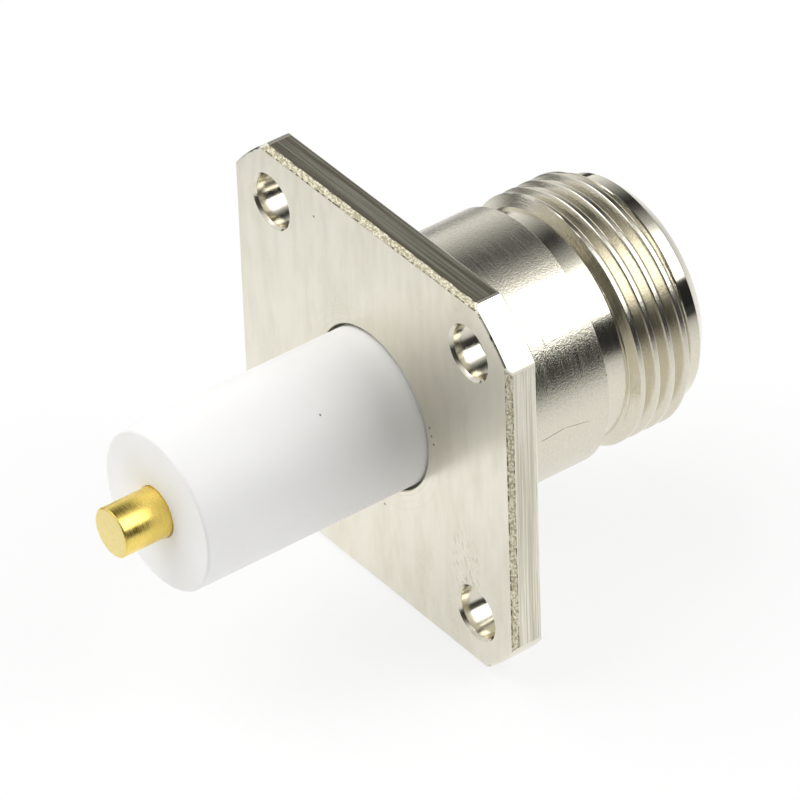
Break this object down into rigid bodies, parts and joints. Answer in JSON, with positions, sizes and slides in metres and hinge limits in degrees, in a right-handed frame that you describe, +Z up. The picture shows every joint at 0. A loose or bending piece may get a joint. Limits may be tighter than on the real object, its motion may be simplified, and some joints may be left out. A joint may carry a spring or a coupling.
{
  "type": "n type connector",
  "caption": "Flange-mounted coaxial jack: square drilled plate, threaded barrel with slotted centre socket, and a long dielectric rod with a solder pin.",
  "frame": {"origin": "centre of the flange's mounting face, in the middle of its four screw holes", "axes": "+Y along the connector's axis out of the threaded mating end, the dielectric rod and solder pin towards -Y; +X and +Z along the flange's straight sides, +Z up"},
  "size_m": [0.0254, 0.0367, 0.0254],
  "materials": {
    "shell": "nickel-coloured plating over machined brass, fine turning and brushing marks, polished in the thread relief and on the nose",
    "insulator": "matte white fluoropolymer, as turned",
    "contact": "gold plating, as turned"
  },
  "bodies": {
    "root": {"shell_body": "shell", "insulator": "insulator", "centre_contact": "contact"}
  },
  "joints": []
}
